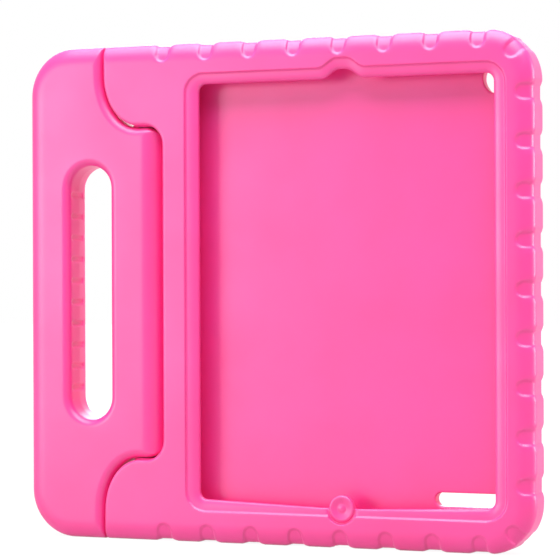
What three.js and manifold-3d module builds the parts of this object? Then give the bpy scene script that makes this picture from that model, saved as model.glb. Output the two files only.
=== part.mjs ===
// Foam case with a swinging handle for a tablet, standing upright: front towards -Y, handle towards -X.
import * as THREE from 'three';
import { mergeVertices } from 'three/addons/utils/BufferGeometryUtils.js';
import Module from 'manifold-3d';

const wasm = await Module();
wasm.setup();

// Tablet that the case is moulded for
const tabletWidth = 185.7;
const tabletHeight = 241.2;
const tabletDepth = 9.4;
const tabletCorner = 9;
const tabletFit = 0.4;

// Foam round the tablet
const sideWall = 7.25;
const endWall = 9;
const frontCover = 4;
const backWall = 8.2;
const cornerRadius = 25;
const shoulderWidth = 9.5;
const shoulderDepth = 5;

// Front window, its lip and the step round it
const sideCover = 13.05;
const endCover = 12.4;
const windowCorner = 4;
const lipWidth = 5.6;
const lipFall = 1.7;
const stepWidth = 1;
const stepDrop = 1;

// Notch in the upper edge of the window, for the front camera
const notchFoot = 21;
const notchTop = 7;
const notchRise = 5.2;
const notchRound = 4;

// Button pad on the lower edge of the window
const padRadius = 6.75;
const padRimWidth = 1.4;
const padDish = 1;
const padNub = 1.9;
const padDrop = 1.9;
const padMoat = 2.4;
const padRing = 0.7;
const padSink = 1;
const padProud = 0.4;

// Rounded grooves over the outer edges
const grooveWidth = 7.8;
const grooveDepth = 1.5;
const grooveSink = 1;
const grooveReach = 9.2;
const sideGroovePitch = 24.3;
const sideGrooveRise = 1.2;
const endGroovePitch = 24.6;
const endGrooveFirst = 28.5;

// Openings for the tablet's sockets, camera and speaker
const cameraHoleRadius = 8;
const cameraInset = 14;
const jackRadius = 3.5;
const jackInset = 20;
const dockWidth = 34;
const dockHeight = 8;
const speakerLength = 36;
const speakerHeight = 7;
const speakerInset = 30;
const speakerRise = 16;
const portFlare = 3;

// Hinge seam between the handle and the shell's two ears
const seamGap = 1;
const earLength = 34.2;
const earStraight = 15.1;
const kneeWidth = 20.4;
const kneeDrop = 27.6;
const tongueCorner = 10;
const barrelSegments = 32;
const shellFrontRound = 1.5;
const handleFrontRound = 3.5;
const swingRound = 9;

// Handle and its finger slot
const handleReach = 78.7;
const gripWidth = 24.1;
const slotWidth = 23.9;
const slotInset = 62.8;
const slotRound = 4;
const ribPitch = 11.4;
const ribDepth = 1.2;
const ribRadius = 1.8;

// Hinge pins and the sleeves that hold them in the foam
const pinRadius = 2.5;
const sleeveWall = 2;
const earSleeveLength = 18;
const handleSleeveLength = 26;
const runningFit = 0.3;
const pinEndPlay = 1;

// Sizes worked out from those above
const pocketWidth = tabletWidth + 2 * tabletFit;
const pocketHeight = tabletHeight + 2 * tabletFit;
const pocketDepth = tabletDepth + tabletFit;
const shellHalf = pocketWidth / 2 + sideWall;
const height = pocketHeight + 2 * endWall;
const thickness = frontCover + pocketDepth + backWall;
const frontY = -thickness / 2;
const backY = thickness / 2;
const pocketFrontY = frontY + frontCover;
const pocketBackY = pocketFrontY + pocketDepth;
const tabletMidY = (pocketFrontY + pocketBackY) / 2;
const width = 2 * shellHalf + handleReach;
const windowWidth = tabletWidth - 2 * sideCover;
const windowHeight = tabletHeight - 2 * endCover;
const seamX = -shellHalf - seamGap / 2;
const earEndX = -shellHalf - earLength;
const hingeX = seamX - seamGap / 2 - thickness / 2;
const handleLeftX = -shellHalf - handleReach;
const kneeHeight = height / 2 - earStraight;
const seamZ = kneeHeight - kneeDrop;
const slotLength = height - 2 * slotInset;
const ribCount = Math.round((slotLength - slotWidth) / ribPitch);
const sideGrooveCount = Math.floor((height - 2 * cornerRadius) / sideGroovePitch) + 1;
const endGrooveCount = Math.floor((2 * shellHalf - endGrooveFirst) / endGroovePitch) + 1;
const slotMidX = handleLeftX + gripWidth + slotWidth / 2;
const padZ = -windowHeight / 2 - padDrop;
const sleeveRadius = pinRadius + runningFit + sleeveWall;

// How far cutters run past what they cut
const past = 20;
const over = 1;
const overcut = 0.3;

const foam = new THREE.MeshStandardMaterial({ color: 0xff5fae, roughness: 0.62, metalness: 0 });
const plastic = new THREE.MeshStandardMaterial({ color: 0xd8327f, roughness: 0.45, metalness: 0 });

function solid(geometry) {
  const bare = geometry.index ? geometry.toNonIndexed() : geometry.clone();
  bare.deleteAttribute('normal');
  bare.deleteAttribute('uv');
  const merged = mergeVertices(bare, 1e-4);
  return new wasm.Manifold(new wasm.Mesh({
    numProp: 3,
    vertProperties: new Float32Array(merged.attributes.position.array),
    triVerts: new Uint32Array(merged.index.array),
  }));
}

function geometryOf(body) {
  const mesh = body.getMesh();
  const geometry = new THREE.BufferGeometry();
  geometry.setAttribute('position', new THREE.BufferAttribute(mesh.vertProperties, 3));
  geometry.setIndex(new THREE.BufferAttribute(mesh.triVerts, 1));
  geometry.computeVertexNormals();
  return geometry;
}

// An outline in X and Z, given depth from one Y to another. Its edges are quarter ellipses: positive
// side rounds the edges of a body, and negative side flares the ends of a cutter by that much.
function plate(outline, fromY, toY, { side = 0, depth = 0, grow = 0, steps = 5 } = {}) {
  const geometry = new THREE.ExtrudeGeometry(outline, {
    depth: toY - fromY - 2 * depth,
    curveSegments: 6,
    bevelEnabled: side !== 0 || grow !== 0,
    bevelSize: side,
    bevelThickness: depth,
    bevelOffset: grow - side,
    bevelSegments: side === 0 ? 1 : steps,
  });
  geometry.translate(0, 0, depth - toY);
  geometry.rotateX(Math.PI / 2);
  return solid(geometry);
}

function roundedRectangle(left, bottom, right, top, radius) {
  const shape = new THREE.Shape();
  shape.absarc(right - radius, bottom + radius, radius, -Math.PI / 2, 0);
  shape.absarc(right - radius, top - radius, radius, 0, Math.PI / 2);
  shape.absarc(left + radius, top - radius, radius, Math.PI / 2, Math.PI);
  shape.absarc(left + radius, bottom + radius, radius, Math.PI, Math.PI * 1.5);
  shape.closePath();
  return shape;
}

function centredRectangle(across, up, radius) {
  return roundedRectangle(-across / 2, -up / 2, across / 2, up / 2, radius);
}

// A slot with round ends, longer either across or up
function stadium(x, z, across, up) {
  const radius = Math.min(across, up) / 2;
  const reachX = across / 2 - radius;
  const reachZ = up / 2 - radius;
  const start = across > up ? -Math.PI / 2 : 0;
  const shape = new THREE.Shape();
  shape.absarc(x + reachX, z + reachZ, radius, start, start + Math.PI);
  shape.absarc(x - reachX, z - reachZ, radius, start + Math.PI, start + Math.PI * 2);
  shape.closePath();
  return shape;
}

function disc(x, z, radius) {
  const shape = new THREE.Shape();
  shape.absarc(x, z, radius, 0, Math.PI * 2);
  return shape;
}

// A rod along Z, used for bores, pins and sleeves
function rod(radius, x, y, fromZ, toZ, segments = 24) {
  const geometry = new THREE.CylinderGeometry(radius, radius, toZ - fromZ, segments);
  geometry.rotateX(Math.PI / 2);
  geometry.translate(x, y, (fromZ + toZ) / 2);
  return solid(geometry);
}

// The whole closed case as one pillow, drawn in by inset at the sides and by sink at the faces
function pillow(inset, sink) {
  const outline = roundedRectangle(
    handleLeftX + inset, -height / 2 + inset, shellHalf - inset, height / 2 - inset, cornerRadius - inset,
  );
  const rounding = { side: shoulderWidth, depth: shoulderDepth, steps: 5 };
  return plate(outline, frontY + sink, backY - sink, rounding);
}

// Half of the seam, from the top edge down to mid height, moved by shift away from the handle
function upperSeam(path, shift) {
  const endX = earEndX - seamGap / 2 + shift;
  const faceZ = seamZ + shift;
  const notchX = seamX + shift;
  path.lineTo(endX, height / 2 + past);
  path.lineTo(endX, kneeHeight);
  path.absellipse(
    endX + kneeWidth - shift, kneeHeight, kneeWidth - shift, kneeHeight - faceZ, Math.PI, Math.PI * 1.5, false,
  );
  path.absarc(
    notchX - tongueCorner - shift, faceZ - tongueCorner - shift, tongueCorner + shift, Math.PI / 2, 0, true,
  );
}

// The same half turned over, from mid height down to the bottom edge
function lowerSeam(path, shift) {
  const endX = earEndX - seamGap / 2 + shift;
  const faceZ = -seamZ - shift;
  const notchX = seamX + shift;
  path.absarc(
    notchX - tongueCorner - shift, faceZ + tongueCorner + shift, tongueCorner + shift, 0, -Math.PI / 2, true,
  );
  path.absellipse(
    endX + kneeWidth - shift, -kneeHeight, kneeWidth - shift, kneeHeight + faceZ, Math.PI / 2, Math.PI, false,
  );
  path.lineTo(endX, -height / 2 - past);
}

function shellOutline() {
  const shape = new THREE.Shape();
  shape.moveTo(shellHalf + past, height / 2 + past);
  upperSeam(shape, seamGap / 2);
  lowerSeam(shape, seamGap / 2);
  shape.lineTo(shellHalf + past, -height / 2 - past);
  shape.closePath();
  return shape;
}

function handleOutline() {
  const shape = new THREE.Shape();
  shape.moveTo(handleLeftX - past, height / 2 + past);
  upperSeam(shape, -seamGap / 2);
  lowerSeam(shape, -seamGap / 2);
  shape.lineTo(handleLeftX - past, -height / 2 - past);
  shape.closePath();
  return shape;
}

// Rounds an outline by one amount at the front and by the swing's amount at the back
function roundedFrontAndBack(outline, frontRound) {
  const front = plate(outline, frontY, backY + past, { side: frontRound, depth: frontRound, steps: 3 });
  const back = plate(outline, frontY - past, backY, { side: swingRound, depth: swingRound, steps: 5 });
  return front.intersect(back);
}

// Cutters for every groove, each a slot with a round inner end that leaves the pillow's core standing
function grooves() {
  const half = grooveWidth / 2;
  const core = pillow(grooveDepth, grooveSink);
  const slot = (x, z, turn) => {
    const shape = new THREE.Shape();
    shape.absarc(half - grooveReach, 0, half, Math.PI / 2, Math.PI * 1.5);
    shape.lineTo(past, -half);
    shape.lineTo(past, half);
    shape.closePath();
    const geometry = new THREE.ExtrudeGeometry(shape, {
      depth: thickness + 2 * over, curveSegments: 3, bevelEnabled: false,
    });
    geometry.translate(0, 0, frontY - over);
    geometry.rotateZ(turn);
    geometry.rotateX(Math.PI / 2);
    geometry.translate(x, 0, z);
    return solid(geometry);
  };
  const slots = [];
  for (let i = 0; i < sideGrooveCount; i++) {
    const z = sideGrooveRise + (i - (sideGrooveCount - 1) / 2) * sideGroovePitch;
    slots.push(slot(shellHalf, z, 0));
  }
  for (let i = 0; i < endGrooveCount; i++) {
    const x = shellHalf - endGrooveFirst - i * endGroovePitch;
    slots.push(slot(x, height / 2, Math.PI / 2));
    slots.push(slot(x, -height / 2, -Math.PI / 2));
  }
  const diagonal = cornerRadius * Math.SQRT1_2;
  for (const end of [1, -1]) {
    const x = shellHalf - cornerRadius + diagonal;
    const z = end * (height / 2 - cornerRadius + diagonal);
    slots.push(slot(x, z, end * Math.PI / 4));
  }
  return slots.reduce((all, one) => all.add(one)).subtract(core);
}

function notchOutline() {
  const shape = new THREE.Shape();
  const foot = windowHeight / 2 - past / 2;
  const top = windowHeight / 2 + notchRise;
  shape.moveTo(-notchFoot / 2, foot);
  shape.lineTo(notchFoot / 2, foot);
  shape.lineTo(notchFoot / 2, windowHeight / 2);
  shape.quadraticCurveTo(notchTop / 2 + notchRound / 2, top, notchTop / 2 - notchRound / 2, top);
  shape.lineTo(notchRound / 2 - notchTop / 2, top);
  shape.quadraticCurveTo(-notchTop / 2 - notchRound / 2, top, -notchFoot / 2, windowHeight / 2);
  shape.closePath();
  return shape;
}

// Window through the front, its rounded lip, and the step that the frame drops by round it
function windowCutter() {
  const stepY = frontY + stepDrop;
  const flare = { side: -lipWidth, depth: lipFall, steps: 4 };
  const lipFloor = pocketFrontY + over + lipFall;
  const outlines = [centredRectangle(windowWidth, windowHeight, windowCorner), notchOutline()];
  const openings = outlines.map((outline) => plate(outline, stepY - overcut, lipFloor, flare));
  const steps = outlines.map((outline) => plate(outline, frontY - over, stepY, { grow: lipWidth + stepWidth }));
  const bay = plate(disc(0, padZ, padRadius + padMoat), frontY - over, stepY);
  const ring = plate(disc(0, padZ, padRadius + padRing), frontY - over, stepY + padSink);
  return [...openings, ...steps, bay, ring].reduce((all, one) => all.add(one));
}

// Button pad: a raised rim round a dish with a nub in its middle
function buttonPad() {
  const rimY = frontY + stepDrop - padProud;
  const dishY = rimY + padDish;
  const nubY = dishY - padDish * 0.6;
  const profile = [
    [0, nubY],
    [padNub * 0.7, nubY + 0.1],
    [padNub, dishY],
    [padNub + 0.8, dishY],
    [padRadius - padRimWidth - 0.6, rimY + 0.2],
    [padRadius - padRimWidth * 0.6, rimY],
    [padRadius - 0.3, rimY + 0.4],
    [padRadius, rimY + 1],
    [padRadius, pocketFrontY],
    [0, pocketFrontY],
  ].map(([r, y]) => new THREE.Vector2(r, y));
  const geometry = new THREE.LatheGeometry(profile, 24);
  geometry.translate(0, 0, padZ);
  return solid(geometry);
}

function socketCutters() {
  const flare = { side: -portFlare, depth: portFlare, steps: 3 };
  const camera = disc(tabletWidth / 2 - cameraInset, tabletHeight / 2 - cameraInset, cameraHoleRadius);
  const speakerX = tabletWidth / 2 - speakerInset;
  const speakerZ = -tabletHeight / 2 + speakerRise;
  const speaker = stadium(speakerX, speakerZ, speakerLength, speakerHeight);
  const jackX = -tabletWidth / 2 + jackInset;
  const jack = rod(jackRadius, jackX, tabletMidY, tabletHeight / 2 - over, height / 2 + over, 20);
  const dockGeometry = new THREE.ExtrudeGeometry(stadium(0, 0, dockWidth, dockHeight), {
    depth: endWall + 2 * over, curveSegments: 4, bevelEnabled: false,
  });
  dockGeometry.translate(0, tabletMidY, -height / 2 - over);
  return [
    plate(camera, pocketBackY - portFlare - over, backY + overcut, flare),
    plate(speaker, pocketBackY - portFlare - over, backY + overcut, flare),
    jack,
    solid(dockGeometry),
  ].reduce((all, one) => all.add(one));
}

// Round bore along the hinge for a sleeve, from one height to another above or below the middle
function sleeveBore(end, near, far) {
  const radius = sleeveRadius + runningFit;
  return end > 0 ? rod(radius, hingeX, 0, near, far) : rod(radius, hingeX, 0, -far, -near);
}

function caseShell() {
  const pocketOutline = centredRectangle(pocketWidth, pocketHeight, tabletCorner);
  let body = pillow(0, 0).intersect(roundedFrontAndBack(shellOutline(), shellFrontRound));
  body = body.subtract(grooves());
  body = body.subtract(plate(pocketOutline, pocketFrontY, pocketBackY));
  body = body.subtract(windowCutter());
  body = body.add(buttonPad());
  body = body.subtract(socketCutters());
  const boreEnd = seamZ + seamGap / 2 + earSleeveLength + runningFit;
  for (const end of [1, -1]) {
    body = body.subtract(sleeveBore(end, seamZ - past, boreEnd));
  }
  return body;
}

// Half-round end of the handle, a barrel about the hinge whose ends are domed to turn in the shell
function tongueBarrel() {
  const radius = thickness / 2;
  const top = seamZ - seamGap / 2;
  const dome = new THREE.Path();
  dome.moveTo(0, -top);
  dome.lineTo(radius - tongueCorner, -top);
  dome.absarc(radius - tongueCorner, tongueCorner - top, tongueCorner, -Math.PI / 2, 0);
  dome.absarc(radius - tongueCorner, top - tongueCorner, tongueCorner, 0, Math.PI / 2);
  dome.lineTo(0, top);
  const geometry = new THREE.LatheGeometry(dome.getPoints(5), barrelSegments);
  geometry.rotateX(Math.PI / 2);
  geometry.translate(hingeX, 0, 0);
  return solid(geometry);
}

function handleEnvelope() {
  const slabOutline = roundedRectangle(handleLeftX - past, -height, hingeX, height, 1);
  const slab = plate(slabOutline, frontY - over, backY + over);
  const round = rod(thickness / 2, hingeX, 0, -seamZ, seamZ, barrelSegments);
  const frontHalf = plate(centredRectangle(2 * width, 2 * height, 1), frontY - over, 0);
  return slab.add(round.intersect(frontHalf)).add(tongueBarrel());
}

function fingerSlot() {
  const outline = stadium(slotMidX, 0, slotWidth, slotLength);
  const flare = { side: -slotRound, depth: slotRound, steps: 4 };
  let slot = plate(outline, frontY - overcut, backY + overcut, flare);
  const wallX = slotMidX - slotWidth / 2;
  for (let i = 0; i < ribCount; i++) {
    const z = (i - (ribCount - 1) / 2) * ribPitch;
    const geometry = new THREE.CylinderGeometry(ribRadius, ribRadius, thickness + 2 * over, 10);
    geometry.translate(wallX + ribRadius - ribDepth, 0, z);
    slot = slot.add(solid(geometry));
  }
  return slot;
}

function handle() {
  let body = pillow(0, 0).intersect(roundedFrontAndBack(handleOutline(), handleFrontRound));
  body = body.intersect(handleEnvelope());
  body = body.subtract(fingerSlot());
  const boreEnd = seamZ - seamGap / 2 - handleSleeveLength - runningFit;
  for (const end of [1, -1]) {
    body = body.subtract(sleeveBore(end, boreEnd, seamZ + past));
  }
  return body;
}

// Plastic tube that a pin runs in
function sleeve(fromZ, toZ) {
  const inner = pinRadius + runningFit;
  const profile = [
    [inner, fromZ], [sleeveRadius, fromZ], [sleeveRadius, toZ], [inner, toZ], [inner, fromZ],
  ].map(([r, z]) => new THREE.Vector2(r, z));
  const geometry = new THREE.LatheGeometry(profile, 24);
  geometry.rotateX(Math.PI / 2);
  geometry.translate(hingeX, 0, 0);
  return solid(geometry);
}

function named(name, geometry, material) {
  const mesh = new THREE.Mesh(geometry, material);
  mesh.name = name;
  return mesh;
}

const group = new THREE.Group();
group.position.set(width / 2 - shellHalf, 0, height / 2);
group.add(named('case_shell', geometryOf(caseShell()), foam));
group.add(named('handle', geometryOf(handle()), foam));
const earSleeveStart = seamZ + seamGap / 2;
const handleSleeveEnd = seamZ - seamGap / 2;
const pinStart = handleSleeveEnd - handleSleeveLength + pinEndPlay;
const pinEnd = earSleeveStart + earSleeveLength - pinEndPlay;
for (const [place, end] of [['upper', 1], ['lower', -1]]) {
  const span = (name, from, to, make) => {
    const body = end > 0 ? make(from, to) : make(-to, -from);
    group.add(named(`${place}_${name}`, geometryOf(body), plastic));
  };
  span('ear_sleeve', earSleeveStart, earSleeveStart + earSleeveLength, sleeve);
  span('handle_sleeve', handleSleeveEnd - handleSleeveLength, handleSleeveEnd, sleeve);
  span('hinge_pin', pinStart, pinEnd, (from, to) => rod(pinRadius, hingeX, 0, from, to));
}
group.updateMatrixWorld(true);

export default group;
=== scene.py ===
# Foam tablet case with a swinging handle: its two foam mouldings, their finish and a plain studio
import math
import bpy
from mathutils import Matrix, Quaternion, Vector


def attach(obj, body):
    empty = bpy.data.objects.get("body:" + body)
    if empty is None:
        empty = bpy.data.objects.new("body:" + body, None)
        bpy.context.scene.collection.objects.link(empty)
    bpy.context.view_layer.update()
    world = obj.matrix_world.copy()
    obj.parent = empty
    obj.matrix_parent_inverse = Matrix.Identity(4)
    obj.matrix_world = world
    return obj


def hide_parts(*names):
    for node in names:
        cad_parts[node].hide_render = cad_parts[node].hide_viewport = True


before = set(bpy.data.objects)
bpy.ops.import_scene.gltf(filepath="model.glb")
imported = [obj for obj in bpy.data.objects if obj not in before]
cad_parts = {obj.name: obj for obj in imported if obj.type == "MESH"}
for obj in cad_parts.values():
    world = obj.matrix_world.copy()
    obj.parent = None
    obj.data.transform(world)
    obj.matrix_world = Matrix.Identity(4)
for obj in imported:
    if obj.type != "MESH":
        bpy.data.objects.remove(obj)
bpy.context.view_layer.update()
mm = 0.001
proud = 0.02  # mm that a cutter stands over a face which it shares with the foam
beyond = 20.0  # mm that a cutter runs on past what it cuts
throughHalf = 13.0  # mm, half the length of a cutter that goes through both faces
print("frame loaded")


# Small tools used for both mouldings

def takeUp(*pieces):  # leaves edit mode and picks only these, the first of them active
    if bpy.context.mode != 'OBJECT':
        bpy.ops.object.mode_set(mode='OBJECT')
    bpy.ops.object.select_all(action='DESELECT')
    for piece in pieces:
        piece.select_set(True)
    if pieces:
        bpy.context.view_layer.objects.active = pieces[0]


def settle(piece):  # puts a piece's place, turn and scale into its mesh
    takeUp(piece)
    bpy.ops.object.transform_apply(location=True, rotation=True, scale=True)
    return piece


def selectEdges(piece, wanted):  # goes into edit mode with the edges picked whose ends pass
    takeUp(piece)
    bpy.ops.object.mode_set(mode='EDIT')
    bpy.ops.mesh.select_mode(type='EDGE')
    bpy.ops.mesh.select_all(action='DESELECT')
    bpy.ops.object.mode_set(mode='OBJECT')
    places = [vertex.co for vertex in piece.data.vertices]
    for edge in piece.data.edges:
        edge.select = wanted(places[edge.vertices[0]], places[edge.vertices[1]])
    bpy.ops.object.mode_set(mode='EDIT')


def roundEdges(piece, wanted, radius, segments):
    selectEdges(piece, wanted)
    bpy.ops.mesh.bevel(offset=radius * mm, segments=segments, affect='EDGES', clamp_overlap=False)
    bpy.ops.object.mode_set(mode='OBJECT')


def runsDeep(a, b):  # an edge from the front towards the back
    return abs(a.y - b.y) > mm


def stretchDepth(piece, factor):
    takeUp(piece)
    bpy.ops.object.mode_set(mode='EDIT')
    bpy.ops.mesh.select_all(action='SELECT')
    bpy.ops.transform.resize(value=(1, factor, 1), center_override=(0, 0, 0))
    bpy.ops.object.mode_set(mode='OBJECT')


def combine(piece, other, operation):
    takeUp(piece)
    step = piece.modifiers.new("Combine", 'BOOLEAN')
    step.operation = operation
    step.solver = 'EXACT'
    step.object = other
    bpy.ops.object.modifier_apply(modifier=step.name)
    bpy.data.objects.remove(other, do_unlink=True)


def joinAll(name, pieces):
    takeUp(*pieces)
    bpy.ops.object.join()
    joined = bpy.context.view_layer.objects.active
    joined.name = name
    return joined


def copyPiece(piece):
    takeUp(piece)
    bpy.ops.object.duplicate(linked=False)
    return bpy.context.view_layer.objects.active


def emptyMesh(name):
    takeUp()
    bpy.ops.mesh.primitive_plane_add(size=10 * mm, location=(0, 0, 0))
    piece = bpy.context.view_layer.objects.active
    piece.name = name
    bpy.ops.object.mode_set(mode='EDIT')
    bpy.ops.mesh.delete(type='VERT')
    return piece


def drawLoop(points, y):  # in edit mode: one closed line, drawn point by point
    bpy.ops.mesh.select_mode(type='VERT')
    bpy.ops.mesh.select_all(action='DESELECT')
    start = (points[0][0] * mm, y * mm, points[0][1] * mm)
    bpy.ops.mesh.primitive_plane_add(size=2 * mm, location=start)
    bpy.ops.mesh.merge(type='CENTER')
    for (x, z), (nextX, nextZ) in zip(points, points[1:]):
        step = ((nextX - x) * mm, 0, (nextZ - z) * mm)
        bpy.ops.mesh.extrude_vertices_move(TRANSFORM_OT_translate={"value": step})


def closeLoop(piece, first, last):  # joins the last point of a drawn line to its first
    bpy.ops.object.mode_set(mode='OBJECT')
    for vertex in piece.data.vertices:
        vertex.select = vertex.index in (first, last)
    bpy.ops.object.mode_set(mode='EDIT')
    bpy.ops.mesh.select_mode(type='VERT')
    bpy.ops.mesh.edge_face_add()


def pickLoops(piece, count, *rings):  # picks the edges of whole rings, of count points each
    bpy.ops.mesh.select_mode(type='EDGE')
    bpy.ops.mesh.select_all(action='DESELECT')
    bpy.ops.object.mode_set(mode='OBJECT')
    for edge in piece.data.edges:
        a, b = (index // count for index in edge.vertices)
        edge.select = a == b and a in rings
    bpy.ops.object.mode_set(mode='EDIT')


def loftRings(name, rings):  # rings of equally many points, each at its own depth
    piece = emptyMesh(name)
    count = len(rings[0][0])
    for index, (points, y) in enumerate(rings):
        drawLoop(points, y)
        closeLoop(piece, index * count, (index + 1) * count - 1)
    last = len(rings) - 1
    for index in range(last):
        pickLoops(piece, count, index, index + 1)
        bpy.ops.mesh.bridge_edge_loops()
    for index in (0, last):
        pickLoops(piece, count, index)
        bpy.ops.mesh.edge_face_add()
    bpy.ops.mesh.select_all(action='SELECT')
    bpy.ops.mesh.normals_make_consistent(inside=False)
    bpy.ops.object.mode_set(mode='OBJECT')
    return piece


def arc(x, z, radius, fromAngle, toAngle, count, stretch=1.0):
    points = []
    for index in range(count + 1):
        angle = math.radians(fromAngle + (toAngle - fromAngle) * index / count)
        points.append((x + radius * math.cos(angle), z + radius * stretch * math.sin(angle)))
    return points


def slotPoints(x, z, across, up, grow=0.0, count=12):  # a slot with round ends
    radius = min(across, up) / 2
    reachX, reachZ = across / 2 - radius, up / 2 - radius
    start = -90 if across > up else 0
    ends = arc(x + reachX, z + reachZ, radius + grow, start, start + 180, count)
    return ends + arc(x - reachX, z - reachZ, radius + grow, start + 180, start + 360, count)


def flaredCutter(name, outline, fromY, toY, flare, bothEnds=False, waist=0.0, steps=6):
    angles = [math.pi / 2 * index / steps for index in range(steps + 1)]
    rings = [(outline(flare * (1 - math.sin(angle))), flare * math.cos(angle)) for angle in angles]
    mouth = [(points, toY - flare + rise) for points, rise in reversed(rings)]
    if bothEnds:
        start = [(points, fromY + flare - rise) for points, rise in rings]
        start.append((outline(-waist), (fromY + toY) / 2))
    else:
        start = [(outline(0), fromY)]
    return loftRings(name, start + mouth)


def softenFoam(piece, voxel, smoothing, faces):  # rounds every edge as foam comes out of a mould
    takeUp(piece)
    remesh = piece.modifiers.new("Remesh", 'REMESH')
    remesh.mode = 'VOXEL'
    remesh.voxel_size = voxel * 1 * mm
    bpy.ops.object.modifier_apply(modifier=remesh.name)
    smooth = piece.modifiers.new("Smooth", 'SMOOTH')
    smooth.factor = 0.5
    smooth.iterations = smoothing
    bpy.ops.object.modifier_apply(modifier=smooth.name)
    thin = piece.modifiers.new("Thin", 'DECIMATE')
    thin.ratio = min(1.0, faces / (2 * len(piece.data.polygons)))
    bpy.ops.object.modifier_apply(modifier=thin.name)
    bpy.ops.object.shade_smooth()
    print(piece.name, len(piece.data.polygons), "faces")


# The closed case as one pillow, with rounded corners and a soft shoulder at both faces

outerSizes = {
    "left": -139.85, "right": 139.85, "bottom": 0.0, "top": 260.0, "depth": 22.0,
    "corner": 25.0, "shoulderWidth": 9.5, "shoulderDepth": 5.0,
    "cornerFacets": 18, "shoulderFacets": 10,
}
middle = (outerSizes["bottom"] + outerSizes["top"]) / 2
faceY = outerSizes["depth"] / 2


def makePillow(name, inset=0.0, sink=0.0):  # inset shrinks its outline, and sink its faces
    sizes = outerSizes
    across = sizes["right"] - sizes["left"] - 2 * inset
    up = sizes["top"] - sizes["bottom"] - 2 * inset
    deep = sizes["depth"] - 2 * sink
    takeUp()
    bpy.ops.mesh.primitive_cube_add(
        size=1, location=(0, 0, middle * mm), scale=(across * mm, deep * mm, up * mm))
    piece = settle(bpy.context.view_layer.objects.active)
    piece.name = name
    roundEdges(piece, runsDeep, sizes["corner"] - inset, sizes["cornerFacets"])
    stretch = sizes["shoulderWidth"] / sizes["shoulderDepth"]
    stretchDepth(piece, stretch)
    face = deep / 2 * stretch * mm
    onRim = lambda a, b: abs(a.y - b.y) < 1e-6 and abs(abs(a.y) - face) < 1e-5
    roundEdges(piece, onRim, sizes["shoulderWidth"], sizes["shoulderFacets"])
    stretchDepth(piece, 1 / stretch)
    return piece


# The seam between the handle and the shell, one outline for each side of its gap

seamSizes = {
    "gap": 1.15, "earX": -95.85, "kneeX": -75.45, "kneeHeight": 114.9, "faceHeight": 87.3,
    "tongueX": -61.65, "tongueCorner": 10.0,
    "shellFront": 1.6, "handleFront": 4.5, "back": 9.0, "farSide": 160.0,
}

hingeSizes = {
    "x": -73.15, "barrel": 11.0, "bore": 5.1, "earBore": 106.1, "handleBore": 60.5,
    "boss": 8.5, "bossRise": 0.9, "bossRoot": 3.0,
}


def seamPoints(shift):  # from above the upper ear, round the tongue, to below the lower ear
    sizes = seamSizes
    faceZ = sizes["faceHeight"] + shift
    kneeWidth = sizes["kneeX"] - sizes["earX"] - shift
    kneeTall = (sizes["kneeHeight"] - faceZ) / kneeWidth
    upper = [(sizes["earX"] + shift, middle + beyond)]
    upper += arc(sizes["kneeX"], sizes["kneeHeight"], kneeWidth, 180, 270, 16, kneeTall)
    cornerX = sizes["tongueX"] - sizes["tongueCorner"]
    cornerZ = sizes["faceHeight"] - sizes["tongueCorner"]
    upper += arc(cornerX, cornerZ, sizes["tongueCorner"] + shift, 90, 0, 12)
    lower = [(x, -z) for x, z in reversed(upper)]
    return [(x, middle + z) for x, z in upper + lower]


def makeBlock(name, farX, shift, frontRound):  # all that lies on one side of the seam
    seam = seamPoints(shift)
    top, bottom = seam[0][1], seam[-1][1]
    outline = [(farX, top)] + seam + [(farX, bottom)]
    half = faceY + proud
    piece = loftRings(name, [(outline, -half), (outline, half)])
    nearFace = (half - proud / 2) * mm
    roundEdges(piece, lambda a, b: max(a.y, b.y) < -nearFace, frontRound, 6)
    roundEdges(piece, lambda a, b: min(a.y, b.y) > nearFace, seamSizes["back"], 10)
    return piece


def hingeRod(name, radius, fromHeight, toHeight, points=64):
    takeUp()
    place = (hingeSizes["x"] * mm, 0, (middle + (fromHeight + toHeight) / 2) * mm)
    depth = (toHeight - fromHeight) * mm
    bpy.ops.mesh.primitive_cylinder_add(vertices=points, radius=radius * mm, depth=depth, location=place)
    rod = settle(bpy.context.view_layer.objects.active)
    rod.name = name
    return rod


# Case shell: grooves over its edges, pocket, window with its lip, button pad and the tablet's openings

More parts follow.
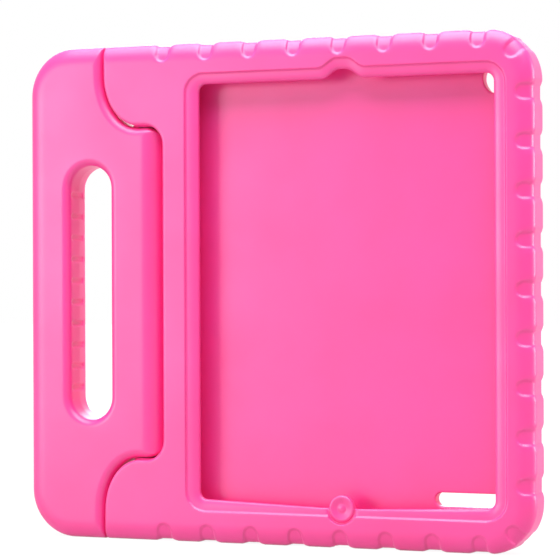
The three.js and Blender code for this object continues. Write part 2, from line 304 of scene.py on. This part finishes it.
shellSizes = {
    "grooveWidth": 7.8, "grooveReach": 9.2, "grooveRun": 25.0,
    # each groove is cut in steps: how much wider, how deep at the edge and how deep at the faces
    "grooveSteps": [(2.2, 0.2, 0.0), (1.4, 0.42, 0.0), (0.6, 0.66, 0.0), (0.0, 0.9, 0.9)],
    "cornerSteps": [(1.0, 0.22, 0.0), (0.0, 0.45, 0.8)],
    "sideGrooves": [131.2 + 24.3 * step for step in range(-4, 5)],
    "endGrooves": [111.35 - 24.6 * step for step in range(8)],
    # a box is left, right, bottom and top
    "pocket": (-53.9, 132.6, 9.0, 251.0), "pocketFront": -7.0, "pocketBack": 2.8, "pocketCorner": 9.0,
    "window": (-40.6, 119.15, 22.6, 238.2), "windowCorner": 4.0,
    "stepLine": (-48.0, 125.75, 16.4, 243.9), "stepCorner": 10.6, "stepDrop": 1.0,
    # lipRoot and bayRoot take the lip's hidden root on past the step line
    "lipShare": 0.85, "lipFall": 1.7, "lipRoot": 1.12, "bayRoot": 0.8, "throatOvercut": 0.5,
    # a pair is at the window's own edge and at the step line
    "notchX": 39.35, "notchRise": 4.9, "notchTop": (1.6, 2.9), "notchFoot": (11.6, 12.2),
    "padX": 38.4, "padZ": 20.3, "padRadius": 6.75, "padBay": 8.1, "bayStep": 1.2,
    "padMoat": 8.0, "moatDepth": 2.0,
    # an opening in the back is x, z, width and height, and one in an end is x and y
    "camera": (118.2, 236.6, 16.0, 16.0), "speaker": (102.2, 25.4, 36.0, 7.0),
    "backFlare": 3.0, "backOvercut": 0.3, "wallOvercut": 1.0, "openingOvercut": 2.0,
    "jack": (-33.5, -2.1), "jackRadius": 3.5, "dock": (39.35, -2.1), "dockSize": (34.0, 7.8),
    "dockRound": 3.8, "endOvercut": 1.5,
    "voxel": 0.5, "smoothing": 4, "faces": 190000,
}


def between(near, far, share):
    return near + (far - near) * share


def windowPoints(share, bay=0.0):  # from the window's own edge, at 0, to the step round its lip, at 1
    sizes = shellSizes
    steps = 8  # to either side of the pad and of the notch
    left, right, bottom, top = (between(*ends, share) for ends in zip(sizes["window"], sizes["stepLine"]))
    radius = between(sizes["windowCorner"], sizes["stepCorner"], share)
    points = arc(left + radius, bottom + radius, radius, 180, 270, 6)
    for index in range(-steps, steps + 1):
        across = sizes["bayStep"] * index
        dip = sizes["padZ"] - math.sqrt(max(0.0, bay * bay - across * across))
        points.append((sizes["padX"] + across, min(bottom, dip)))
    points += arc(right - radius, bottom + radius, radius, 270, 360, 6)
    points += arc(right - radius, top - radius, radius, 0, 90, 6)
    flat, foot = between(*sizes["notchTop"], share), between(*sizes["notchFoot"], share)
    for index in range(-steps, steps + 1):
        across = -foot * index / steps
        rise = min(1.0, max(0.0, (foot - abs(across)) / (foot - flat)))
        rise = rise * rise * (3 - 2 * rise)
        points.append((sizes["notchX"] + across, top + sizes["notchRise"] * rise))
    return points + arc(left + radius, top - radius, radius, 90, 180, 6)


def groovePlaces():  # where each groove's round end sits, and the way that the groove runs from there
    sizes = shellSizes
    inset = sizes["grooveReach"] - sizes["grooveWidth"] / 2
    edges = [(outerSizes["right"] - inset, z, 0) for z in sizes["sideGrooves"]]
    corners = []
    slant = (outerSizes["corner"] - inset) / math.sqrt(2)
    for end, edge in ((1, outerSizes["top"] - inset), (-1, inset)):
        edges += [(x, edge, 90 * end) for x in sizes["endGrooves"]]
        cornerX = outerSizes["right"] - outerSizes["corner"] + slant
        cornerZ = middle + end * (middle - outerSizes["corner"] + slant)
        corners.append((cornerX, cornerZ, 45 * end))
    return edges, corners


def makeGrooves(places, wider, depth, sink):  # bars with a round end, hollowed by a smaller pillow
    half = shellSizes["grooveWidth"] / 2 + wider
    run = shellSizes["grooveRun"]
    outline = arc(0, 0, half, 90, 270, 10) + [(run, -half), (run, half)]
    one = loftRings("groove", [(outline, -throughHalf), (outline, throughHalf)])
    copies = []
    for x, z, angle in places:
        groove = copyPiece(one)
        groove.location = (x * mm, 0, z * mm)
        groove.rotation_euler = (0, -math.radians(angle), 0)
        copies.append(settle(groove))
    bpy.data.objects.remove(one, do_unlink=True)
    cutters = joinAll("grooves", copies)
    combine(cutters, makePillow("core", depth, sink), 'DIFFERENCE')
    return cutters


def makePocket():
    sizes = shellSizes
    left, right, bottom, top = sizes["pocket"]
    front, back = sizes["pocketFront"], sizes["pocketBack"]
    takeUp()
    place = ((left + right) / 2 * mm, (front + back) / 2 * mm, (bottom + top) / 2 * mm)
    size = ((right - left) * mm, (back - front) * mm, (top - bottom) * mm)
    bpy.ops.mesh.primitive_cube_add(size=1, location=place, scale=size)
    pocket = settle(bpy.context.view_layer.objects.active)
    roundEdges(pocket, runsDeep, sizes["pocketCorner"], 10)
    return pocket


def makeLip():  # the rounded frame round the window, with the pad's moat cut out of it
    sizes = shellSizes
    stepY = sizes["stepDrop"] - faceY
    outer = windowPoints(sizes["lipRoot"], sizes["padBay"] + sizes["bayRoot"])
    lip = loftRings("lip", [(outer, stepY), (outer, sizes["pocketFront"])])
    throat = [(windowPoints(sizes["lipShare"]), stepY - sizes["throatOvercut"])]
    for index in range(7):
        angle = math.pi / 2 * index / 6
        share = sizes["lipShare"] * (1 - math.sin(angle))
        throat.append((windowPoints(share), stepY + sizes["lipFall"] * (1 - math.cos(angle))))
    throat.append((windowPoints(0), sizes["pocketFront"] + sizes["throatOvercut"]))
    combine(lip, loftRings("throat", throat), 'DIFFERENCE')
    takeUp()
    place = (sizes["padX"] * mm, -faceY * mm, sizes["padZ"] * mm)
    bpy.ops.mesh.primitive_cylinder_add(
        vertices=64, radius=sizes["padMoat"] * mm, depth=2 * sizes["moatDepth"] * mm,
        location=place, rotation=(math.pi / 2, 0, 0))
    combine(lip, settle(bpy.context.view_layer.objects.active), 'DIFFERENCE')
    return lip


padSteps = [
    (6.75, -9.8), (6.55, -10.25), (6.1, -10.45), (5.4, -10.4), (4.6, -10.1), (2.9, -9.5), (2.0, -9.4),
    (1.6, -9.8), (0.9, -10.0),
]  # radius and depth, from the pad's wall over its rim into the dish and up its nub


def makePad():
    sizes = shellSizes
    takeUp()
    place = (sizes["padX"] * mm, sizes["pocketFront"] * mm, sizes["padZ"] * mm)
    bpy.ops.mesh.primitive_circle_add(
        vertices=64, radius=sizes["padRadius"] * mm, fill_type='NGON',
        location=place, rotation=(math.pi / 2, 0, 0))
    pad = settle(bpy.context.view_layer.objects.active)
    bpy.ops.object.mode_set(mode='EDIT')
    bpy.ops.mesh.select_all(action='SELECT')
    radius, y = sizes["padRadius"], sizes["pocketFront"]
    for nextRadius, nextY in padSteps:
        bpy.ops.mesh.extrude_region_move(TRANSFORM_OT_translate={"value": (0, (nextY - y) * mm, 0)})
        factor = nextRadius / radius
        centre = (place[0], nextY * mm, place[2])
        bpy.ops.transform.resize(value=(factor, 1, factor), center_override=centre)
        radius, y = nextRadius, nextY
    bpy.ops.mesh.select_all(action='SELECT')
    bpy.ops.mesh.normals_make_consistent(inside=False)
    bpy.ops.object.mode_set(mode='OBJECT')
    return pad


def makeJack():
    sizes = shellSizes
    x, y = sizes["jack"]
    start, to = sizes["pocket"][3] - sizes["endOvercut"], outerSizes["top"] + sizes["endOvercut"]
    takeUp()
    bpy.ops.mesh.primitive_cylinder_add(
        vertices=40, radius=sizes["jackRadius"] * mm, depth=(to - start) * mm,
        location=(x * mm, y * mm, (start + to) / 2 * mm))
    return settle(bpy.context.view_layer.objects.active)


def makeDock():
    sizes = shellSizes
    x, y = sizes["dock"]
    across, deep = sizes["dockSize"]
    start, to = outerSizes["bottom"] - sizes["endOvercut"], sizes["pocket"][2] + sizes["endOvercut"]
    takeUp()
    bpy.ops.mesh.primitive_cube_add(
        size=1, location=(x * mm, y * mm, (start + to) / 2 * mm),
        scale=(across * mm, deep * mm, (to - start) * mm))
    dock = settle(bpy.context.view_layer.objects.active)
    roundEdges(dock, lambda a, b: abs(a.z - b.z) > mm, sizes["dockRound"], 8)
    return dock


def makeShell():
    sizes = shellSizes
    shell = makePillow("foam_shell")
    block = makeBlock("shellBlock", seamSizes["farSide"], seamSizes["gap"] / 2, seamSizes["shellFront"])
    combine(shell, block, 'INTERSECT')
    edges, corners = groovePlaces()
    for wider, depth, sink in sizes["grooveSteps"]:
        combine(shell, makeGrooves(edges, wider, depth, sink), 'DIFFERENCE')
    for wider, depth, sink in sizes["cornerSteps"]:
        combine(shell, makeGrooves(corners, wider, depth, sink), 'DIFFERENCE')
    print("shell outside cut")
    combine(shell, makePocket(), 'DIFFERENCE')
    step = windowPoints(1, sizes["padBay"])
    opening = [(step, -throughHalf), (step, sizes["pocketFront"] + sizes["openingOvercut"])]
    combine(shell, loftRings("opening", opening), 'DIFFERENCE')
    start, to = sizes["pocketBack"] - sizes["wallOvercut"], faceY + sizes["backOvercut"]
    for name in ("camera", "speaker"):
        ring = lambda grow: slotPoints(*sizes[name], grow, 20)
        combine(shell, flaredCutter(name, ring, start, to, sizes["backFlare"]), 'DIFFERENCE')
    combine(shell, makeJack(), 'DIFFERENCE')
    combine(shell, makeDock(), 'DIFFERENCE')
    low = seamSizes["faceHeight"] + seamSizes["gap"] / 2 - hingeSizes["bossRise"]
    high = low + hingeSizes["bossRoot"]
    for fromHeight, toHeight in ((low, high), (-high, -low)):
        combine(shell, hingeRod("boss", hingeSizes["boss"], fromHeight, toHeight), 'UNION')
    low, high = seamSizes["faceHeight"] - beyond, hingeSizes["earBore"]
    for fromHeight, toHeight in ((low, high), (-high, -low)):
        combine(shell, hingeRod("bore", hingeSizes["bore"], fromHeight, toHeight), 'DIFFERENCE')
    shell = joinAll("foam_shell", [shell, makeLip(), makePad()])
    softenFoam(shell, sizes["voxel"], sizes["smoothing"], sizes["faces"])
    return shell


# Handle: rounded slab, turning tongue, finger slot and thumb ribs

handleSizes = {
    "slotX": -103.8, "slotWidth": 23.9, "slotLength": 134.4, "slotRound": 4.0, "slotWaist": 0.5,
    "ribs": 10, "ribPitch": 11.4, "ribMiddle": 130.8, "ribDepth": 1.0, "ribRadius": 1.8,
    "ribEnds": (-7.5, 6.5), "ribEndRound": 0.9,
    "voxel": 0.5, "smoothing": 4, "faces": 120000,
}


def makeTongue():  # a slab up to the hinge's axis, and a barrel that turns round the axis
    radius, face = hingeSizes["barrel"], seamSizes["faceHeight"]
    takeUp()
    left = outerSizes["left"] - beyond
    across = hingeSizes["x"] - left
    up = outerSizes["top"] - outerSizes["bottom"] + 2 * beyond
    bpy.ops.mesh.primitive_cube_add(
        size=1, location=((left + across / 2) * mm, 0, middle * mm),
        scale=(across * mm, 2 * (faceY + proud) * mm, up * mm))
    slab = settle(bpy.context.view_layer.objects.active)
    front = hingeRod("frontRound", radius, -face, face)
    takeUp(front)
    bpy.ops.object.mode_set(mode='EDIT')
    bpy.ops.mesh.select_all(action='SELECT')
    bpy.ops.mesh.bisect(plane_co=(0, 0, 0), plane_no=(0, 1, 0), use_fill=True, clear_outer=True)
    bpy.ops.object.mode_set(mode='OBJECT')
    top = face - seamSizes["gap"] / 2
    barrel = hingeRod("barrel", radius - proud, -top, top)
    topZ, bottomZ = (middle + top) * mm, (middle - top) * mm
    atEnd = lambda a: min(abs(a.z - topZ), abs(a.z - bottomZ)) < 1e-5
    onRim = lambda a, b: abs(a.z - b.z) < 1e-6 and atEnd(a)
    roundEdges(barrel, onRim, seamSizes["tongueCorner"], 12)
    combine(slab, front, 'UNION')
    combine(slab, barrel, 'UNION')
    return slab


def makeRibs():  # one rounded rod, copied along the slot's outer wall
    sizes = handleSizes
    x = sizes["slotX"] - sizes["slotWidth"] / 2 + sizes["ribRadius"] - sizes["ribDepth"]
    z = sizes["ribMiddle"] - (sizes["ribs"] - 1) / 2 * sizes["ribPitch"]
    near, far = sizes["ribEnds"]
    takeUp()
    bpy.ops.mesh.primitive_cylinder_add(
        vertices=32, radius=sizes["ribRadius"] * mm, depth=(far - near) * mm,
        location=(x * mm, (near + far) / 2 * mm, z * mm), rotation=(math.pi / 2, 0, 0))
    rib = settle(bpy.context.view_layer.objects.active)
    onEnd = lambda a, b: abs(a.y - b.y) < 1e-6
    roundEdges(rib, onEnd, sizes["ribRadius"] * sizes["ribEndRound"], 6)
    ribs = [rib]
    for index in range(1, sizes["ribs"]):
        rib = copyPiece(ribs[0])
        rib.location.z += index * sizes["ribPitch"] * mm
        ribs.append(settle(rib))
    return joinAll("ribs", ribs)


def makeHandle():
    sizes, seam = handleSizes, seamSizes
    handle = makePillow("foam_handle")
    block = makeBlock("handleBlock", -seam["farSide"], -seam["gap"] / 2, seam["handleFront"])
    combine(handle, block, 'INTERSECT')
    combine(handle, makeTongue(), 'INTERSECT')
    print("handle outside cut")
    slot = (sizes["slotX"], middle, sizes["slotWidth"], sizes["slotLength"])
    ring = lambda grow: slotPoints(*slot, grow, 24)
    half = faceY + proud
    cutter = flaredCutter("slot", ring, -half, half, sizes["slotRound"], True, sizes["slotWaist"])
    combine(handle, cutter, 'DIFFERENCE')
    combine(handle, makeRibs(), 'DIFFERENCE')
    low, high = hingeSizes["handleBore"], seam["faceHeight"] + beyond
    for fromHeight, toHeight in ((low, high), (-high, -low)):
        combine(handle, hingeRod("bore", hingeSizes["bore"], fromHeight, toHeight), 'DIFFERENCE')
    softenFoam(handle, sizes["voxel"], sizes["smoothing"], sizes["faces"])
    return handle


foamShell = makeShell()
foamHandle = makeHandle()
print("foam mouldings made")


# Finishes: foam skin with a fine pebble, and the plastic of the hinge

skinPattern = {
    "pebbleDetail": 2.0, "cellScale": 900.0, "cellHeight": 0.6,
    "cloudScale": 22.0, "cloudDetail": 3.0, "cloudFrom": 0.35, "cloudTo": 0.7,
    "edgeFrom": 0.505, "edgeTo": 0.56, "roughnessSpread": 0.16,
    "bumpDepth": 0.0001, "sheenRoughness": 0.45, "sheenTint": (1.0, 0.8, 0.92, 1),
}


def newGroup(name, inputs, outputs):
    group = bpy.data.node_groups.new(name, 'ShaderNodeTree')
    for label, kind, value in inputs:
        socket = group.interface.new_socket(name=label, in_out='INPUT', socket_type=kind)
        socket.default_value = value
    for label, kind in outputs:
        group.interface.new_socket(name=label, in_out='OUTPUT', socket_type=kind)
    return group, group.nodes.new('NodeGroupInput'), group.nodes.new('NodeGroupOutput')


def makePebbleSkin():  # colour clouds, rubbed edges and a fine pebble, all over Object coordinates
    pattern = skinPattern
    number, colour = 'NodeSocketFloat', 'NodeSocketColor'
    group, given, result = newGroup("pebbleSkin", [
        ("Colour", colour, (1, 1, 1, 1)), ("Deep Colour", colour, (0.5, 0.5, 0.5, 1)),
        ("Worn Colour", colour, (1, 1, 1, 1)), ("Pebble Scale", number, 1500.0),
        ("Variation", number, 0.2), ("Wear", number, 0.3), ("Base Roughness", number, 0.5),
    ], [("Colour", colour), ("Roughness", number), ("Height", number)])
    nodes, links = group.nodes, group.links
    place = nodes.new('ShaderNodeTexCoord')
    pebble = nodes.new('ShaderNodeTexNoise')
    pebble.inputs["Detail"].default_value = pattern["pebbleDetail"]
    links.new(place.outputs["Object"], pebble.inputs["Vector"])
    links.new(given.outputs["Pebble Scale"], pebble.inputs["Scale"])
    cells = nodes.new('ShaderNodeTexVoronoi')
    cells.inputs["Scale"].default_value = pattern["cellScale"]
    links.new(place.outputs["Object"], cells.inputs["Vector"])
    clouds = nodes.new('ShaderNodeTexNoise')
    clouds.inputs["Scale"].default_value = pattern["cloudScale"]
    clouds.inputs["Detail"].default_value = pattern["cloudDetail"]
    links.new(place.outputs["Object"], clouds.inputs["Vector"])
    cloudMask = nodes.new('ShaderNodeMapRange')
    cloudMask.inputs["From Min"].default_value = pattern["cloudFrom"]
    cloudMask.inputs["From Max"].default_value = pattern["cloudTo"]
    links.new(clouds.outputs["Fac"], cloudMask.inputs["Value"])
    links.new(given.outputs["Variation"], cloudMask.inputs["To Max"])
    tone = nodes.new('ShaderNodeMix')
    tone.data_type = 'RGBA'
    links.new(cloudMask.outputs["Result"], tone.inputs["Factor"])
    links.new(given.outputs["Colour"], tone.inputs["A"])
    links.new(given.outputs["Deep Colour"], tone.inputs["B"])
    shape = nodes.new('ShaderNodeNewGeometry')
    edge = nodes.new('ShaderNodeMapRange')
    edge.inputs["From Min"].default_value = pattern["edgeFrom"]
    edge.inputs["From Max"].default_value = pattern["edgeTo"]
    links.new(shape.outputs["Pointiness"], edge.inputs["Value"])
    rubbed = nodes.new('ShaderNodeMath')
    rubbed.operation = 'MULTIPLY'
    links.new(edge.outputs["Result"], rubbed.inputs[0])
    links.new(given.outputs["Wear"], rubbed.inputs[1])
    worn = nodes.new('ShaderNodeMix')
    worn.data_type = 'RGBA'
    links.new(rubbed.outputs["Value"], worn.inputs["Factor"])
    links.new(tone.outputs["Result"], worn.inputs["A"])
    links.new(given.outputs["Worn Colour"], worn.inputs["B"])
    links.new(worn.outputs["Result"], result.inputs["Colour"])
    polish = nodes.new('ShaderNodeMath')
    polish.operation = 'MULTIPLY_ADD'
    polish.inputs[1].default_value = pattern["roughnessSpread"]
    links.new(clouds.outputs["Fac"], polish.inputs[0])
    links.new(given.outputs["Base Roughness"], polish.inputs[2])
    links.new(polish.outputs["Value"], result.inputs["Roughness"])
    height = nodes.new('ShaderNodeMath')
    height.operation = 'MULTIPLY_ADD'
    height.inputs[1].default_value = pattern["cellHeight"]
    links.new(cells.outputs["Distance"], height.inputs[0])
    links.new(pebble.outputs["Fac"], height.inputs[2])
    links.new(height.outputs["Value"], result.inputs["Height"])
    return group


def makeFinish(name, skin, look):
    material = bpy.data.materials.new(name)
    material.use_nodes = True
    nodes, links = material.node_tree.nodes, material.node_tree.links
    shader = nodes["Principled BSDF"]
    surface = nodes.new('ShaderNodeGroup')
    surface.node_tree = skin
    for socket in surface.inputs:
        socket.default_value = look[socket.name]
    bump = nodes.new('ShaderNodeBump')
    bump.inputs["Strength"].default_value = look["Bump"]
    bump.inputs["Distance"].default_value = skinPattern["bumpDepth"]
    links.new(surface.outputs["Height"], bump.inputs["Height"])
    links.new(surface.outputs["Colour"], shader.inputs["Base Color"])
    links.new(surface.outputs["Roughness"], shader.inputs["Roughness"])
    links.new(bump.outputs["Normal"], shader.inputs["Normal"])
    shader.inputs["Sheen Weight"].default_value = look["Sheen"]
    shader.inputs["Sheen Roughness"].default_value = skinPattern["sheenRoughness"]
    shader.inputs["Sheen Tint"].default_value = skinPattern["sheenTint"]
    shader.inputs["Specular IOR Level"].default_value = look["Specular"]
    return material


foamLook = {
    "Colour": (0.95, 0.035, 0.322, 1), "Deep Colour": (0.93, 0.024, 0.255, 1),
    "Worn Colour": (0.96, 0.13, 0.45, 1),
    "Pebble Scale": 1500.0, "Variation": 0.5, "Wear": 0.35, "Base Roughness": 0.315,
    "Bump": 0.12, "Sheen": 0.12, "Specular": 1.0,
}
plasticLook = {
    "Colour": (0.6, 0.035, 0.19, 1), "Deep Colour": (0.5, 0.02, 0.14, 1),
    "Worn Colour": (0.8, 0.12, 0.32, 1),
    "Pebble Scale": 2600.0, "Variation": 0.4, "Wear": 0.4, "Base Roughness": 0.3,
    "Bump": 0.05, "Sheen": 0.0, "Specular": 0.5,
}
skin = makePebbleSkin()
foamFinish = makeFinish("pinkFoam", skin, foamLook)
hingeFinish = makeFinish("hingePlastic", skin, plasticLook)
for piece in (foamShell, foamHandle):
    piece.data.materials.clear()
    piece.data.materials.append(foamFinish)
for place in ("upper", "lower"):
    for part in ("ear_sleeve", "handle_sleeve", "hinge_pin"):
        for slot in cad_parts[place + "_" + part].material_slots:
            slot.material = hingeFinish
print("finishes made")

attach(foamShell, "shell")
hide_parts("case_shell")
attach(foamHandle, "grip")
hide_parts("handle")


# Studio: pale floor, soft lights and the photograph's camera

studio = {
    "camera": (0.45003, -1.08679, 0.13341), "forward": (-0.381748, 0.924264, 0.002423),
    "roll": -0.2334, "lens": 146.31, "sensor": 36.0, "farthest": 50.0,
    "world": 0.03, "floorSize": 12.0, "floorColour": (0.5, 0.5, 0.5, 1), "floorRoughness": 0.9,
    "floorGlow": 1.15, "shadow": 0.2, "shadowFade": (0.35, 1.2),
    "lampTarget": (0.0, 0.0, 0.13),
    "lamps": [  # name, place, size and power
        ("leftSoftbox", (-1.35, -1.55, 0.14), 0.9, 19.5),
        ("rightSoftbox", (1.6, 0.35, 0.4), 0.8, 16.0),
        ("topSoftbox", (0.0, -0.35, 1.3), 1.4, 35.0),
        ("backSoftbox", (-0.7, 1.6, 0.7), 1.2, 26.0),
    ],
}


def seenDirectly(nodes, links):  # 1 for rays that look at the backdrop, 0 for the light that it gives
    path = nodes.new('ShaderNodeLightPath')
    last = path.outputs["Is Camera Ray"]
    for label in ("Is Glossy Ray", "Is Transmission Ray"):
        larger = nodes.new('ShaderNodeMath')
        larger.operation = 'MAXIMUM'
        links.new(last, larger.inputs[0])
        links.new(path.outputs[label], larger.inputs[1])
        last = larger.outputs["Value"]
    return last


def makeFloor():
    takeUp()
    bpy.ops.mesh.primitive_plane_add(size=studio["floorSize"], location=(0, 0, 0))
    floor = bpy.context.view_layer.objects.active
    floor.name = "floor"
    material = bpy.data.materials.new("paleFloor")
    material.use_nodes = True
    nodes, links = material.node_tree.nodes, material.node_tree.links
    shader = nodes["Principled BSDF"]
    shader.inputs["Base Color"].default_value = studio["floorColour"]
    shader.inputs["Roughness"].default_value = studio["floorRoughness"]
    glow = nodes.new('ShaderNodeEmission')
    glow.inputs["Strength"].default_value = studio["floorGlow"]
    place = nodes.new('ShaderNodeTexCoord')
    distance = nodes.new('ShaderNodeVectorMath')
    distance.operation = 'LENGTH'
    links.new(place.outputs["Object"], distance.inputs[0])
    fade = nodes.new('ShaderNodeMapRange')  # the shadow shows near the case, and the far floor is white
    near, far = studio["shadowFade"]
    fade.inputs["From Min"].default_value = near
    fade.inputs["From Max"].default_value = far
    fade.inputs["To Min"].default_value = 1 - studio["shadow"]
    links.new(distance.outputs["Value"], fade.inputs["Value"])
    share = nodes.new('ShaderNodeMath')
    share.operation = 'MULTIPLY'
    links.new(seenDirectly(nodes, links), share.inputs[0])
    links.new(fade.outputs["Result"], share.inputs[1])
    blend = nodes.new('ShaderNodeMixShader')
    links.new(share.outputs["Value"], blend.inputs["Fac"])
    links.new(shader.outputs["BSDF"], blend.inputs[1])
    links.new(glow.outputs["Emission"], blend.inputs[2])
    links.new(blend.outputs["Shader"], nodes["Material Output"].inputs["Surface"])
    floor.data.materials.append(material)


def makeWorld():
    world = bpy.data.worlds.new("studioWorld")
    bpy.context.scene.world = world
    world.use_nodes = True
    nodes, links = world.node_tree.nodes, world.node_tree.links
    background = nodes["Background"]
    background.inputs["Color"].default_value = (1, 1, 1, 1)
    level = nodes.new('ShaderNodeMapRange')
    level.inputs["To Min"].default_value = studio["world"]
    level.inputs["To Max"].default_value = 1.0
    links.new(seenDirectly(nodes, links), level.inputs["Value"])
    links.new(level.outputs["Result"], background.inputs["Strength"])


def makeLamps():
    target = Vector(studio["lampTarget"])
    for name, place, size, power in studio["lamps"]:
        lamp = bpy.data.lights.new(name, 'AREA')
        lamp.shape = 'SQUARE'
        lamp.size = size
        lamp.energy = power
        holder = bpy.data.objects.new(name, lamp)
        holder.location = place
        holder.rotation_euler = (target - Vector(place)).to_track_quat('-Z', 'Y').to_euler()
        bpy.context.scene.collection.objects.link(holder)


def makeCamera():
    data = bpy.data.cameras.new("camera")
    data.lens = studio["lens"]
    data.sensor_width = studio["sensor"]
    data.clip_end = studio["farthest"]
    camera = bpy.data.objects.new("camera", data)
    camera.location = studio["camera"]
    look = Vector(studio["forward"]).to_track_quat('-Z', 'Y')
    turned = look @ Quaternion((0, 0, 1), math.radians(studio["roll"]))
    camera.rotation_euler = turned.to_euler()
    bpy.context.scene.collection.objects.link(camera)
    bpy.context.scene.camera = camera


makeFloor()
makeWorld()
makeLamps()
makeCamera()
bpy.context.scene.view_settings.view_transform = 'Standard'
print("studio ready")
